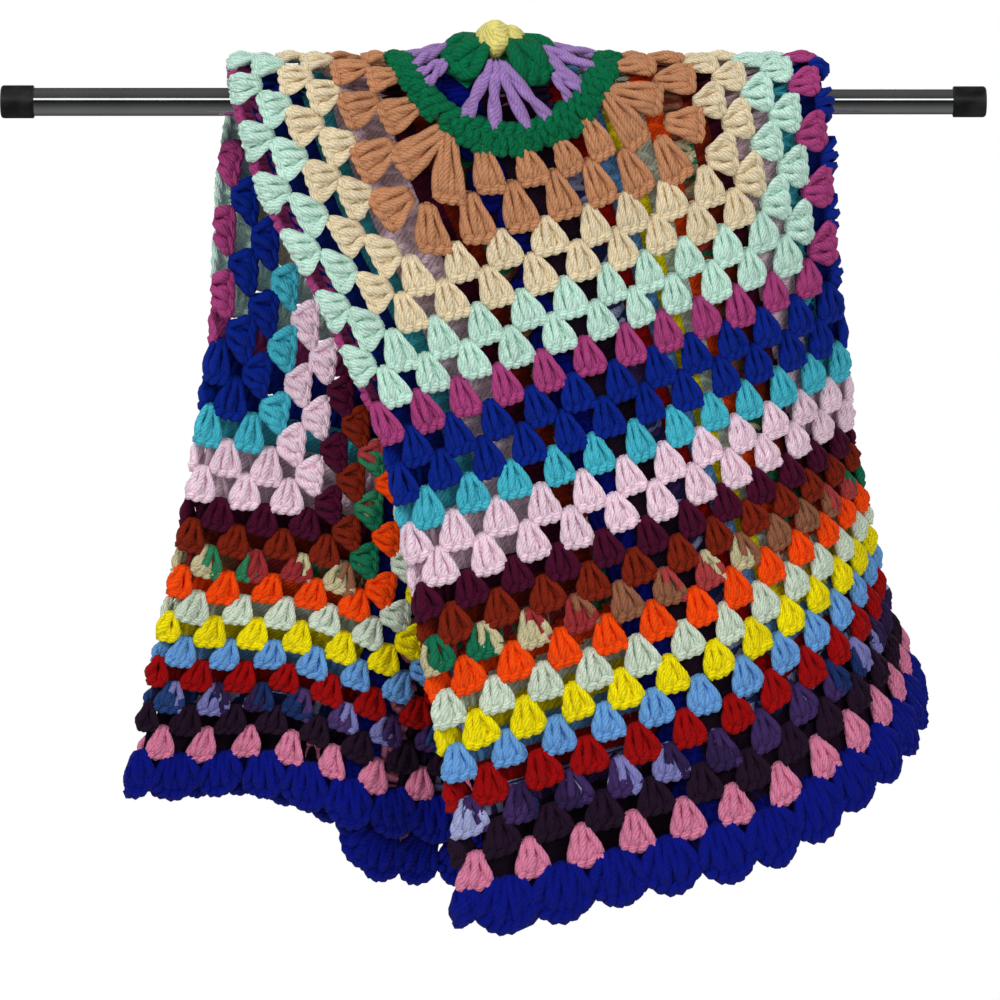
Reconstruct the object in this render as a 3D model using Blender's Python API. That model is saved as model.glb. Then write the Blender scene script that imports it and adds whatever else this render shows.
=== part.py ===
"""Granny square blanket, folded lengthwise in three and draped over a telescoping rod.

Metres, +Z up. The origin is the centre of the flat left end of the rod, +X runs along the rod
and -Y is the side that the blanket's middle panel faces. The blanket is one sheet of crochet:
a flat square (u to the right, v up) is folded along two lines of constant u, laid over the rod
askew, and hangs from it in three layers at the front and three at the back.
"""

import math

import bmesh
import bpy
import numpy as np

# The rod
ROD_LENGTH = 0.5837
OUTER_TUBE_RADIUS = 0.0084
TUBE_WALL = 0.0006
FIT_GAP = 0.0003
INNER_TUBE_RADIUS = OUTER_TUBE_RADIUS - TUBE_WALL - FIT_GAP
OUTER_TUBE_END = 0.41
TUBE_OVERLAP = 0.09
LEFT_CAP_RADIUS = 0.0098
RIGHT_CAP_RADIUS = 0.0092
CAP_LENGTH = 0.0196
CAP_FLOOR = 0.0025
CAP_EDGE = 0.002
ROUND_STEPS = 32

# The flat blanket
HALF_SIDE = 0.441
SCALLOP = 0.009
CLOTH = 0.0035
CELLS = 29
HALF_CELLS = CELLS // 2
LEFT_FOLD = -0.175
RIGHT_FOLD = 0.197
LEFT_FOLD_CELLS = 5.5
RIGHT_FOLD_CELLS = 6.5
GAP_SIDE = 0.015
PLAIN_ROWS = 3
ROD_ROWS = 2
ROD_ROW_PARTS = 3

# The folds and the layers over the rod
SKEW = math.radians(12.5)
LAYER_STEP = 0.008
TURN_RADIUS = LAYER_STEP / 2
TURN_LENGTH = math.pi * TURN_RADIUS / 2
WRAP_DEPTH = 0.033
WRAP_HEIGHT = 0.026
WRAP_LENGTH = 0.046
TUCK_START = 0.02
TUCK_END = 0.09
CROWN_HEIGHT = 0.014
CROWN_REACH = 0.024

# The front hang: cloth stretch, its easing round the rod, and the lift of the lower right corner
FRONT_STRETCH = 1.14
FRONT_EASE = -0.0085
FRONT_EASE_REACH = 0.05
FRONT_LIFT = 0.26
LIFT_START = 0.2
HEM_STRETCH = 0.06
HEM_START = 0.3

# The back hang
BACK_STRETCH = 0.998
BACK_EASE = 0.047
BACK_TILT = -0.085
BACK_EASE_REACH = 0.14

# How far each flap's free edge has slipped at the hem, against the middle panel (x, down)
LEFT_FLAP_SLIP_FRONT = (0.0, -0.012)
RIGHT_FLAP_SLIP_FRONT = (0.0, -0.012)
RIGHT_FLAP_SLIP_BACK = (0.0155, 0.034)
HEM_DROP = 0.42

# How far the middle panel behind has settled to the left, against its flaps
PANEL_SHIFT = 0.0095
SHIFT_REACH = 0.08
SHIFT_DROP = 0.23

# The rise of the hem behind, where the cloth is drawn up in a shallow arch
HEM_RISE = 0.013
RISE_MIDDLE = -0.082
RISE_REACH = 0.05

# Soft vertical waves: their length along the strip and their depth at the hem
WAVE_LENGTH = 0.15
FRONT_WAVE = 0.004
BACK_WAVE = 0.011

# Drop below the rod's top line; x of the left fold; x of the square's middle line;
# width of cloth from there to the right fold; how far that cloth has turned at the fold
FRONT = {
    "drop": (0.0, 0.046, 0.105, 0.161, 0.247, 0.339, 0.453, 0.532),
    "left": (0.1404, 0.1434, 0.1606, 0.1920, 0.2317, 0.2507, 0.2702, 0.2779),
    "middle": (0.2957, 0.3100, 0.3330, 0.3500, 0.3775, 0.4120, 0.4490, 0.4735),
    "right": (0.1840, 0.174, 0.161, 0.155, 0.155, 0.162, 0.192, 0.198),
    "turn": (0.0, 0.0, 20.0, 35.0, 60.0, 80.0, 90.0, 92.0),
}
BACK = {
    "drop": (0.0, 0.046, 0.090, 0.186, 0.250, 0.324, 0.375, 0.444, 0.520),
    "left": (0.1404, 0.1387, 0.1310, 0.1274, 0.1179, 0.1061, 0.0942, 0.0806, 0.0705),
    "middle": (0.2957, 0.2909, 0.2706, 0.2652, 0.2600, 0.2580, 0.2465, 0.2315, 0.2205),
    "right": (0.1840, 0.170, 0.158, 0.156, 0.158, 0.168, 0.168, 0.168, 0.168),
    "turn": (0.0, 0.0, 0.0, 0.0, 0.0, 0.0, 0.0, 0.0, 0.0),
}

YARN_COLOUR = (0.10, 0.11, 0.42, 1.0)
CHROME_COLOUR = (0.72, 0.73, 0.75, 1.0)
RUBBER_COLOUR = (0.015, 0.015, 0.017, 1.0)


def eased(length, reach):
    """From 0 at the rod's top line to 1 a few reaches away."""
    return 1 - np.exp(-((length / reach) ** 2))


def level(table, name, drop):
    return np.interp(drop, table["drop"], table[name])


def folded(u):
    """The strip's coordinate, the depth below the middle panel and the reach into that panel,
    which is negative on a flap."""
    left = u < (LEFT_FOLD + RIGHT_FOLD) / 2
    into_panel = np.where(left, u - LEFT_FOLD, RIGHT_FOLD - u)
    turn = np.clip(into_panel / TURN_LENGTH, -1, 1) * math.pi / 2
    half = (RIGHT_FOLD - LEFT_FOLD) / 2
    beyond = np.maximum(np.abs(into_panel) - TURN_LENGTH, 0)
    along = beyond * half / (half - TURN_LENGTH) - TURN_RADIUS * np.cos(turn)
    strip = np.where(left, LEFT_FOLD + along, RIGHT_FOLD - along)
    tuck = np.clip((-into_panel - TUCK_START) / (TUCK_END - TUCK_START), 0, 1)
    depth = TURN_RADIUS * (1 - np.sin(turn)) + np.where(left, LAYER_STEP * tuck, 0)
    return strip, depth, into_panel, left


def draped(u, v, raised=0.0):
    """Points of the flat square as they hang, raised towards the outer side of the fold."""
    strip, depth, into_panel, left = folded(u)
    run = -(strip * math.sin(SKEW) + v * math.cos(SKEW))
    front = run > 0
    length = np.abs(run)
    across = np.clip(strip / RIGHT_FOLD, 0, None)

    lift = FRONT_LIFT * across * np.maximum(length - LIFT_START, 0)
    flare = HEM_STRETCH * np.maximum(length - HEM_START, 0)
    front_ease = FRONT_EASE * eased(length, FRONT_EASE_REACH)
    front_drop = FRONT_STRETCH * length + front_ease + flare - lift
    back_ease = BACK_EASE + BACK_TILT * strip
    back_drop = BACK_STRETCH * length + back_ease * eased(length, BACK_EASE_REACH)
    drop = np.where(front, front_drop, back_drop)

    place = {}
    for name in ("left", "middle", "right", "turn"):
        place[name] = np.where(front, level(FRONT, name, drop), level(BACK, name, drop))
    to_left = np.clip(strip / LEFT_FOLD, 0, None)
    turned = np.radians(place["turn"]) * across
    width = place["right"] * across
    safe = np.maximum(turned, 1e-6)
    x = place["middle"] + (place["left"] - place["middle"]) * to_left + width * np.sin(safe) / safe
    bend = width * (1 - np.cos(safe)) / safe

    flap = np.where(left, HALF_SIDE + LEFT_FOLD, HALF_SIDE - RIGHT_FOLD)
    to_hem = np.clip(length / HEM_DROP, 0, 1.1)
    pull = np.clip(-into_panel / flap, 0, 1) * to_hem
    slip_x = np.where(left, np.where(front, LEFT_FLAP_SLIP_FRONT[0], 0),
                      np.where(front, RIGHT_FLAP_SLIP_FRONT[0], RIGHT_FLAP_SLIP_BACK[0]))
    slip_down = np.where(left, np.where(front, LEFT_FLAP_SLIP_FRONT[1], 0),
                         np.where(front, RIGHT_FLAP_SLIP_FRONT[1], RIGHT_FLAP_SLIP_BACK[1]))
    x = x + pull * slip_x
    settled = np.clip(into_panel / SHIFT_REACH, 0, 1) * np.clip(drop / SHIFT_DROP - 1, 0, 1)
    x = x - np.where(front, 0, PANEL_SHIFT * settled)

    inward = depth - raised
    angle = np.clip(drop / WRAP_LENGTH, 0, 1) * math.pi / 2
    wave = np.where(front, FRONT_WAVE, BACK_WAVE) * np.clip(drop / HEM_DROP, 0, 1)
    ripple = wave * np.sin(2 * math.pi * strip / WAVE_LENGTH)
    side = np.where(front, -1, 1)
    x = x - inward * np.sin(angle) * np.sin(turned)
    y = side * (WRAP_DEPTH * np.sin(angle)) + bend + ripple
    y = y - side * inward * np.sin(angle) * np.cos(turned)
    z = (WRAP_HEIGHT - 0.8 * inward) * np.cos(angle)
    z = z - np.maximum(drop - WRAP_LENGTH, 0) - pull * slip_down
    rise = HEM_RISE * to_hem**2 * np.exp(-(((strip - RISE_MIDDLE) / RISE_REACH) ** 2))
    z = z + np.where(front, 0, rise)
    return np.stack([x, y, z], axis=-1)


def crown(u, v):
    """The raised middle of the square, where its centre stitches bunch up."""
    return CROWN_HEIGHT * np.exp(-(u**2 + v**2) / CROWN_REACH**2)


def column_lines():
    """Cell edges across the square, with the turn of each fold as two narrow columns."""
    inner = HALF_SIDE - SCALLOP
    ends = HALF_CELLS + 0.5
    marks = (-ends, -LEFT_FOLD_CELLS, RIGHT_FOLD_CELLS, ends)
    lines = []
    for index in range(CELLS + 1):
        mark = index - ends
        line = float(np.interp(mark, marks, (-inner, LEFT_FOLD, RIGHT_FOLD, inner)))
        if mark in (-LEFT_FOLD_CELLS, RIGHT_FOLD_CELLS):
            lines += [(line - TURN_LENGTH, False), (line, False), (line + TURN_LENGTH, True)]
        else:
            lines.append((line, True))
    return lines


def row_lines():
    """Cell edges up the square, closer together where the cloth bends over the rod."""
    pitch = 2 * (HALF_SIDE - SCALLOP) / CELLS
    lines = []
    for row in range(-HALF_CELLS, HALF_CELLS + 1):
        parts = ROD_ROW_PARTS if abs(row) <= ROD_ROWS else 1
        for part in range(parts):
            lines.append(((row - 0.5 + part / parts) * pitch, row if parts == 1 else None))
    lines.append(((HALF_CELLS + 0.5) * pitch, None))
    return lines


class Sheet:
    """Vertices and faces of the flat sheet, each vertex made once."""

    def __init__(self):
        self.index = {}
        self.points = []
        self.faces = []

    def vertex(self, u, v):
        key = (round(u, 6), round(v, 6))
        if key not in self.index:
            self.index[key] = len(self.points)
            self.points.append((u, v))
        return self.index[key]

    def face(self, corners):
        self.faces.append([self.vertex(u, v) for u, v in corners])


def flat_sheet():
    """The square in cells: every second cell of the hanging part has a gap, as a net has."""
    sheet = Sheet()
    columns = column_lines()
    rows = row_lines()
    column_number = -HALF_CELLS
    for (u0, starts_cell), (u1, _) in zip(columns, columns[1:]):
        wide = starts_cell
        number = column_number if wide else None
        column_number += 1 if wide else 0
        for (v0, row), (v1, _) in zip(rows, rows[1:]):
            inside = number is not None and row is not None
            inside = inside and abs(number) < HALF_CELLS and PLAIN_ROWS < abs(row) < HALF_CELLS
            if inside and (number + row) % 2 == 0:
                holed_cell(sheet, u0, v0, u1, v1)
            else:
                plain_cell(sheet, u0, v0, u1, v1, wide, row is not None)
    return sheet


def holed_cell(sheet, u0, v0, u1, v1):
    middle_u, middle_v, half = (u0 + u1) / 2, (v0 + v1) / 2, GAP_SIDE / 2
    outer = [(u0, v0), (u1, v0), (u1, v1), (u0, v1)]
    inner = [(middle_u - half, middle_v - half), (middle_u + half, middle_v - half),
             (middle_u + half, middle_v + half), (middle_u - half, middle_v + half)]
    for near in range(4):
        far = (near + 1) % 4
        sheet.face([outer[near], outer[far], inner[far], inner[near]])


def plain_cell(sheet, u0, v0, u1, v1, wide, tall):
    """A cell without a gap, whose side on the blanket's edge swells out as a shell stitch."""
    edge = HALF_SIDE - SCALLOP - 1e-6
    corners = [(u0, v0)]
    if wide and v0 < -edge:
        corners.append(((u0 + u1) / 2, -HALF_SIDE))
    corners.append((u1, v0))
    if tall and u1 > edge:
        corners.append((HALF_SIDE, (v0 + v1) / 2))
    corners.append((u1, v1))
    if wide and v1 > edge:
        corners.append(((u0 + u1) / 2, HALF_SIDE))
    corners.append((u0, v1))
    if tall and u0 < -edge:
        corners.append((-HALF_SIDE, (v0 + v1) / 2))
    sheet.face(corners)


def material(name, colour, roughness, metallic=0.0):
    made = bpy.data.materials.new(name)
    made.use_nodes = True
    shader = made.node_tree.nodes["Principled BSDF"]
    shader.inputs["Base Color"].default_value = colour
    shader.inputs["Roughness"].default_value = roughness
    shader.inputs["Metallic"].default_value = metallic
    made.diffuse_color = colour
    return made


def add_object(name, mesh, finish, sharp_angle):
    mesh.shade_smooth()
    mesh.set_sharp_from_angle(angle=sharp_angle)
    mesh.materials.append(finish)
    made = bpy.data.objects.new(name, mesh)
    bpy.context.scene.collection.objects.link(made)
    return made


def add_blanket(finish):
    sheet = flat_sheet()
    flat = np.array(sheet.points)
    points = draped(flat[:, 0], flat[:, 1], crown(flat[:, 0], flat[:, 1]))
    mesh = bpy.data.meshes.new("blanket")
    mesh.from_pydata(points.tolist(), [], sheet.faces)
    made = add_object("blanket", mesh, finish, math.radians(60))
    thicken = made.modifiers.new("Thickness", "SOLIDIFY")
    thicken.thickness = CLOTH
    thicken.offset = 0
    return made


def turned_piece(name, profile, closed, at_x, towards, finish):
    """A profile of (distance along the rod, radius) spun round the rod's axis."""
    form = bmesh.new()
    corners = [form.verts.new((at_x + towards * along, 0, radius)) for along, radius in profile]
    pairs = list(zip(corners, corners[1:]))
    if closed:
        pairs.append((corners[-1], corners[0]))
    edges = [form.edges.new(pair) for pair in pairs]
    bmesh.ops.spin(form, geom=corners + edges, cent=(0, 0, 0), axis=(1, 0, 0),
                   angle=2 * math.pi, steps=ROUND_STEPS, use_merge=True)
    bmesh.ops.remove_doubles(form, verts=form.verts, dist=1e-6)
    bmesh.ops.recalc_face_normals(form, faces=form.faces)
    mesh = bpy.data.meshes.new(name)
    form.to_mesh(mesh)
    form.free()
    return add_object(name, mesh, finish, math.radians(35))


def add_tube(name, start, end, radius, finish):
    bore = radius - TUBE_WALL
    profile = [(0, bore), (end - start, bore), (end - start, radius), (0, radius)]
    return turned_piece(name, profile, True, start, 1, finish)


def add_cap(name, at_x, towards, radius, tube_radius, finish):
    """A rubber cup: flat end face at at_x, rounded edges, open towards the rod."""
    bore = tube_radius + FIT_GAP
    profile = [(0, 0), (0, radius - CAP_EDGE)]
    for step in (1, 2, 3):
        turn = step * math.pi / 6
        profile.append((CAP_EDGE * (1 - math.cos(turn)), radius - CAP_EDGE * (1 - math.sin(turn))))
    rim = (radius - bore) / 2
    profile += [(CAP_LENGTH - rim / 2, radius), (CAP_LENGTH, radius - rim / 2),
                (CAP_LENGTH, bore), (CAP_FLOOR, bore), (CAP_FLOOR, 0)]
    return turned_piece(name, profile, False, at_x, towards, finish)


def main():
    for old in list(bpy.data.objects):
        bpy.data.objects.remove(old, do_unlink=True)
    yarn = material("yarn", YARN_COLOUR, 0.9)
    chrome = material("chrome", CHROME_COLOUR, 0.12, 1.0)
    rubber = material("rubber", RUBBER_COLOUR, 0.55)

    add_blanket(yarn)
    floor = CAP_FLOOR + FIT_GAP
    add_tube("rod_outer_tube", floor, OUTER_TUBE_END, OUTER_TUBE_RADIUS, chrome)
    add_tube("rod_inner_tube", OUTER_TUBE_END - TUBE_OVERLAP, ROD_LENGTH - floor,
             INNER_TUBE_RADIUS, chrome)
    add_cap("end_cap_left", 0, 1, LEFT_CAP_RADIUS, OUTER_TUBE_RADIUS, rubber)
    add_cap("end_cap_right", ROD_LENGTH, -1, RIGHT_CAP_RADIUS, INNER_TUBE_RADIUS, rubber)


main()
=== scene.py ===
"""The looks of a granny square blanket, folded in three and hung askew over a telescoping rod.

Lengths are in metres. The blanket is worked out flat first, in a frame of its own: u across the
folds, v along them, and raised, the height above the right side of the crochet. draped() then
carries every point of the flat blanket to the place where it hangs.
"""

import math

import bpy
import numpy as np
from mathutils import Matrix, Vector


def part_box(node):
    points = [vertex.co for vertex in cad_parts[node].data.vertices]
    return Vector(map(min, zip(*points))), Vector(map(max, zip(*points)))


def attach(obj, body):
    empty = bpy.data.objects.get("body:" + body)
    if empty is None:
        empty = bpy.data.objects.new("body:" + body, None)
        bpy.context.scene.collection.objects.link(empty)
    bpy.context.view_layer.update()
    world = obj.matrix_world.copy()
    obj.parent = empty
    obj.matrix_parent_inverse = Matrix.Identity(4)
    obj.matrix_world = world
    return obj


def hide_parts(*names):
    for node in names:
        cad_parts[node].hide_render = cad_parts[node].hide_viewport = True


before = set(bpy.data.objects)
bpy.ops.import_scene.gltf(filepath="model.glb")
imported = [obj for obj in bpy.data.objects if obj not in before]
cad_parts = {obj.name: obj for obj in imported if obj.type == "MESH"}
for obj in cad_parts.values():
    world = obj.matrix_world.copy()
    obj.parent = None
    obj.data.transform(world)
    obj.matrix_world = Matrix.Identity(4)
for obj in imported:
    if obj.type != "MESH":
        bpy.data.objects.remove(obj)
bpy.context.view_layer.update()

MM = 0.001
TAU = 2 * math.pi

# The rod and its rubber ends, as the solids have them.
ROD_LENGTH = 0.5837
OUTER_TUBE_RADIUS = 0.0084
INNER_TUBE_RADIUS = 0.0075
TUBE_WALL = 0.0006
LEFT_CAP_RADIUS = 0.0098
RIGHT_CAP_RADIUS = 0.0092
CAP_LENGTH = 0.0196
CAP_FLOOR = 0.0025
CAP_EDGE = 0.002
CAP_LIP = 0.0006
TUBE_EDGE = 0.00025
ON_AXIS = 1e-5
FIT_GAP = 0.0003

# The flat blanket and its two lengthwise folds.
HALF_SIDE = 0.441
LEFT_FOLD = -0.175
RIGHT_FOLD = 0.197
SKEW = math.radians(12.5)
LAYER_STEP = 0.008
TURN_RADIUS = LAYER_STEP / 2
TURN_LENGTH = math.pi * TURN_RADIUS / 2
TUCK_START = 0.02
TUCK_END = 0.09

# The bend over the rod.
WRAP_DEPTH = 0.033
WRAP_HEIGHT = 0.026
WRAP_LENGTH = 0.046
WRAP_SETTLING = 0.8
CROWN_HEIGHT = 0.014
CROWN_REACH = 0.024

# The hang of both halves.
FRONT_STRETCH = 1.14
FRONT_EASE = -0.0085
FRONT_EASE_REACH = 0.05
FRONT_LIFT = 0.26
LIFT_START = 0.2
HEM_STRETCH = 0.06
HEM_START = 0.3
BACK_STRETCH = 0.998
BACK_EASE = 0.047
BACK_TILT = -0.085
BACK_EASE_REACH = 0.14
LEFT_FLAP_SLIP_FRONT = (0.0, -0.012)
RIGHT_FLAP_SLIP_FRONT = (0.0, -0.012)
RIGHT_FLAP_SLIP_BACK = (0.0155, 0.034)
HEM_DROP = 0.42
PAST_HEM = 1.1
PANEL_SHIFT = 0.0095
SHIFT_REACH = 0.08
SHIFT_DROP = 0.23
HEM_RISE = 0.013
RISE_MIDDLE = -0.082
RISE_REACH = 0.05
WAVE_LENGTH = 0.15
PANEL_NARROWING = 0.86
FRONT_WAVE = 0.004
BACK_WAVE = 0.011

# How each half hangs at each drop below the rod: the places of its left fold and middle, how far
# its right fold stands from the middle, and how far in degrees that side has swung back.
FRONT = {
    "drop": (0.0, 0.046, 0.105, 0.161, 0.247, 0.339, 0.453, 0.532),
    "left": (0.1404, 0.1434, 0.1606, 0.1920, 0.2317, 0.2507, 0.2702, 0.2779),
    "middle": (0.2957, 0.3100, 0.3330, 0.3500, 0.3775, 0.4120, 0.4490, 0.4735),
    "right": (0.1840, 0.174, 0.161, 0.155, 0.155, 0.162, 0.192, 0.198),
    "turn": (0.0, 0.0, 20.0, 35.0, 60.0, 80.0, 90.0, 92.0),
}
BACK = {
    "drop": (0.0, 0.046, 0.090, 0.186, 0.250, 0.324, 0.375, 0.444, 0.520),
    "left": (0.1404, 0.1387, 0.1310, 0.1274, 0.1179, 0.1061, 0.0942, 0.0806, 0.0705),
    "middle": (0.2957, 0.2909, 0.2706, 0.2652, 0.2600, 0.2580, 0.2465, 0.2315, 0.2205),
    "right": (0.1840, 0.170, 0.158, 0.156, 0.158, 0.168, 0.168, 0.168, 0.168),
    "turn": (0.0,) * 9,
}

# The heights of the tan rounds, of the inner ones, of the outer ones and of the last one.
TALL, INNER, OUTER, LAST = 22.0 * MM, 15.8 * MM, 13.6 * MM, 16.0 * MM

# The rounds of the square from the tan ones outwards: yarn, height of the round, and width of a
# cluster's chained edge as a share of the room that each cluster has.
ROUNDS = (
    ("tan", TALL, 0.79),
    ("tan", TALL, 0.83),
    ("cream", INNER, 0.81),
    ("cream", INNER, 0.81),
    ("mint", INNER, 0.81),
    ("mint", INNER, 0.81),
    ("magenta", INNER, 0.80),
    ("royal", INNER, 0.81),
    ("royal", INNER, 0.81),
    ("turquoise", INNER, 0.80),
    ("pale_pink", INNER, 0.80),
    ("pale_pink", INNER, 0.80),
    ("plum", OUTER, 0.79),
    ("rust", OUTER, 0.80),
    ("autumn", OUTER, 0.79),
    ("orange", OUTER, 0.79),
    ("frost", OUTER, 0.77),
    ("yellow", OUTER, 0.79),
    ("sky", OUTER, 0.77),
    ("red", OUTER, 0.80),
    ("denim", OUTER, 0.79),
    ("charcoal", OUTER, 0.80),
    ("pink", LAST, 0.71),
)
FIRST_ROUND = 5
CENTRE_REACH = 0.068
BORDER_START = CENTRE_REACH + sum(height for _, height, _ in ROUNDS)

# Yarn colours as seen in daylight. A yarn with several is dyed in lengths of each.
YARNS = {
    "pale_yellow": ((0.90, 0.85, 0.49),),
    "green": ((0.00, 0.42, 0.27),),
    "lavender": ((0.64, 0.50, 0.75),),
    "tan": ((0.78, 0.55, 0.40),),
    "cream": ((0.93, 0.86, 0.72),),
    "mint": ((0.80, 0.94, 0.88),),
    "magenta": ((0.68, 0.27, 0.50),),
    "royal": ((0.00, 0.16, 0.55),),
    "turquoise": ((0.29, 0.74, 0.82),),
    "pale_pink": ((0.98, 0.86, 0.92),),
    "plum": ((0.30, 0.05, 0.18),),
    "rust": ((0.50, 0.15, 0.07),),
    "autumn": (
        (0.80, 0.76, 0.60),
        (0.10, 0.46, 0.33),
        (0.68, 0.26, 0.26),
        (0.58, 0.38, 0.28),
        (0.20, 0.52, 0.36),
        (0.62, 0.20, 0.22),
    ),
    "orange": ((1.00, 0.31, 0.03),),
    "frost": ((0.84, 0.90, 0.82),),
    "yellow": ((0.98, 0.91, 0.04),),
    "sky": ((0.42, 0.64, 0.88),),
    "red": ((0.63, 0.00, 0.04),),
    "denim": (
        (0.12, 0.20, 0.40),
        (0.26, 0.18, 0.38),
        (0.66, 0.68, 0.86),
        (0.20, 0.14, 0.30),
        (0.16, 0.27, 0.48),
        (0.30, 0.22, 0.42),
        (0.50, 0.50, 0.74),
    ),
    "charcoal": ((0.16, 0.09, 0.17),),
    "pink": ((0.87, 0.51, 0.64),),
    "navy": ((0.01, 0.09, 0.50),),
}


# --- How the flat blanket hangs -------------------------------


def eased(length, reach):
    """Runs from 0 at the rod to 1 well past reach, as one less a bell curve."""
    return 1 - np.exp(-((length / reach) ** 2))


def smooth(share):
    """Runs from 0 to 1 with level ends: three squares less two cubes of the share."""
    share = np.clip(share, 0, 1)
    return share * share * (3 - 2 * share)


def level(table, name, drop):
    """Reads one column of a table of the hang at each drop, in straight lines between rows."""
    return np.interp(drop, table["drop"], table[name])


def folded(u, raised):
    """Folds the flat blanket in three: each fold is half a circle, past which u runs back under
    the middle panel. It gives the place across the panel, the depth below its right side, how far
    inside the panel the point is, negative on a flap, and whether the left fold is the nearer."""
    left = u < (LEFT_FOLD + RIGHT_FOLD) / 2
    into_panel = np.where(left, u - LEFT_FOLD, RIGHT_FOLD - u)
    turn = np.clip(into_panel / TURN_LENGTH, -1, 1) * math.pi / 2
    half = (RIGHT_FOLD - LEFT_FOLD) / 2
    beyond = np.maximum(np.abs(into_panel) - TURN_LENGTH, 0)
    along = beyond * half / (half - TURN_LENGTH) - (TURN_RADIUS + raised) * np.cos(turn)
    strip = np.where(left, LEFT_FOLD + along, RIGHT_FOLD - along)
    tuck = np.clip((-into_panel - TUCK_START) / (TUCK_END - TUCK_START), 0, 1)
    depth = TURN_RADIUS - (TURN_RADIUS + raised) * np.sin(turn)
    depth = depth + np.where(left, LAYER_STEP * tuck, 0)
    return strip, depth, into_panel, left


def run_down(strip, v):
    """How far down a point hangs along the cloth, positive in front of the rod, from the skewed
    line on which the blanket crosses it."""
    return -(strip * math.sin(SKEW) + v * math.cos(SKEW))


def drop_of(strip, run):
    """Turns the run along the cloth into the drop it reaches, with the stretch of each half."""
    length = np.abs(run)
    across = np.clip(strip / RIGHT_FOLD, 0, None)
    lift = FRONT_LIFT * across * np.maximum(length - LIFT_START, 0)
    flare = HEM_STRETCH * np.maximum(length - HEM_START, 0)
    ease = FRONT_EASE * eased(length, FRONT_EASE_REACH)
    front = FRONT_STRETCH * length + ease + flare - lift
    back_ease = BACK_EASE + BACK_TILT * strip
    back = BACK_STRETCH * length + back_ease * eased(length, BACK_EASE_REACH)
    return np.where(run > 0, front, back)


def flap_slip(front, left, axis):
    """How far a flap has slipped at its hem, across (axis 0) or down (axis 1)."""
    in_front = np.where(left, LEFT_FLAP_SLIP_FRONT[axis], RIGHT_FLAP_SLIP_FRONT[axis])
    behind = np.where(left, 0.0, RIGHT_FLAP_SLIP_BACK[axis])
    return np.where(front, in_front, behind)


def draped(u, v, raised=0.0):
    """Carries points of the flat blanket to where they hang. Each half follows its table of left
    fold, middle and right fold at every drop, bends over the rod as a quarter of an oval, and
    waves like a sine across its width. Raised points move out along the cloth's own right side."""
    strip, depth, into_panel, left = folded(u, raised)
    run = run_down(strip, v)
    front = run > 0
    drop = drop_of(strip, run)
    length = np.abs(run)
    place = {
        name: np.where(front, level(FRONT, name, drop), level(BACK, name, drop))
        for name in ("left", "middle", "right", "turn")
    }
    to_left = np.clip(strip / LEFT_FOLD, 0, None)
    across = np.clip(strip / RIGHT_FOLD, 0, None)
    turned = np.radians(place["turn"]) * across
    width = place["right"] * across
    safe = np.maximum(turned, 1e-6)
    x = place["middle"] + (place["left"] - place["middle"]) * to_left
    x = x + width * np.sin(safe) / safe
    bend = width * (1 - np.cos(safe)) / safe
    flap = np.where(left, HALF_SIDE + LEFT_FOLD, HALF_SIDE - RIGHT_FOLD)
    to_hem = np.clip(length / HEM_DROP, 0, PAST_HEM)
    pull = np.clip(-into_panel / flap, 0, 1) * to_hem
    settled = np.clip(into_panel / SHIFT_REACH, 0, 1) * np.clip(drop / SHIFT_DROP - 1, 0, 1)
    shift = pull * flap_slip(front, left, 0) - np.where(front, 0, PANEL_SHIFT * settled)
    x = x + shift
    angle = np.clip(drop / WRAP_LENGTH, 0, 1) * math.pi / 2
    wave = np.where(front, FRONT_WAVE, BACK_WAVE) * np.clip(drop / HEM_DROP, 0, 1)
    ripple = wave * np.sin(TAU * (strip + shift / PANEL_NARROWING) / WAVE_LENGTH)
    side = np.where(front, -1, 1)
    x = x - depth * np.sin(angle) * np.sin(turned)
    y = side * WRAP_DEPTH * np.sin(angle) + bend + ripple
    y = y - side * depth * np.sin(angle) * np.cos(turned)
    z = (WRAP_HEIGHT - WRAP_SETTLING * depth) * np.cos(angle)
    z = z - np.maximum(drop - WRAP_LENGTH, 0) - pull * flap_slip(front, left, 1)
    rise = HEM_RISE * to_hem**2 * np.exp(-(((strip - RISE_MIDDLE) / RISE_REACH) ** 2))
    z = z + np.where(front, 0, rise)
    return np.stack([x, y, z], axis=-1)


def crown(u, v):
    """The swell of the flower over the rod: a bell curve round the centre of the blanket."""
    return CROWN_HEIGHT * np.exp(-(u**2 + v**2) / CROWN_REACH**2)


def hung(points):
    """Drapes an array of flat points (u, v, raised), lifted by the crown."""
    u, v, raised = np.moveaxis(points, -1, 0)
    return draped(u, v, raised + crown(u, v))


# --- Meshes made of many like strands -------------------------

# The slope past which a strand stands up from the cloth.
UPRIGHT = 0.94


def corner_uv(*corners):
    """The UVs of many faces, from the turn and the length at each of their corners."""
    spread = np.broadcast_arrays(*(value for corner in corners for value in corner))
    pairs = [np.stack(spread[at : at + 2], axis=-1) for at in range(0, len(spread), 2)]
    return np.stack(pairs, axis=-2)


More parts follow.
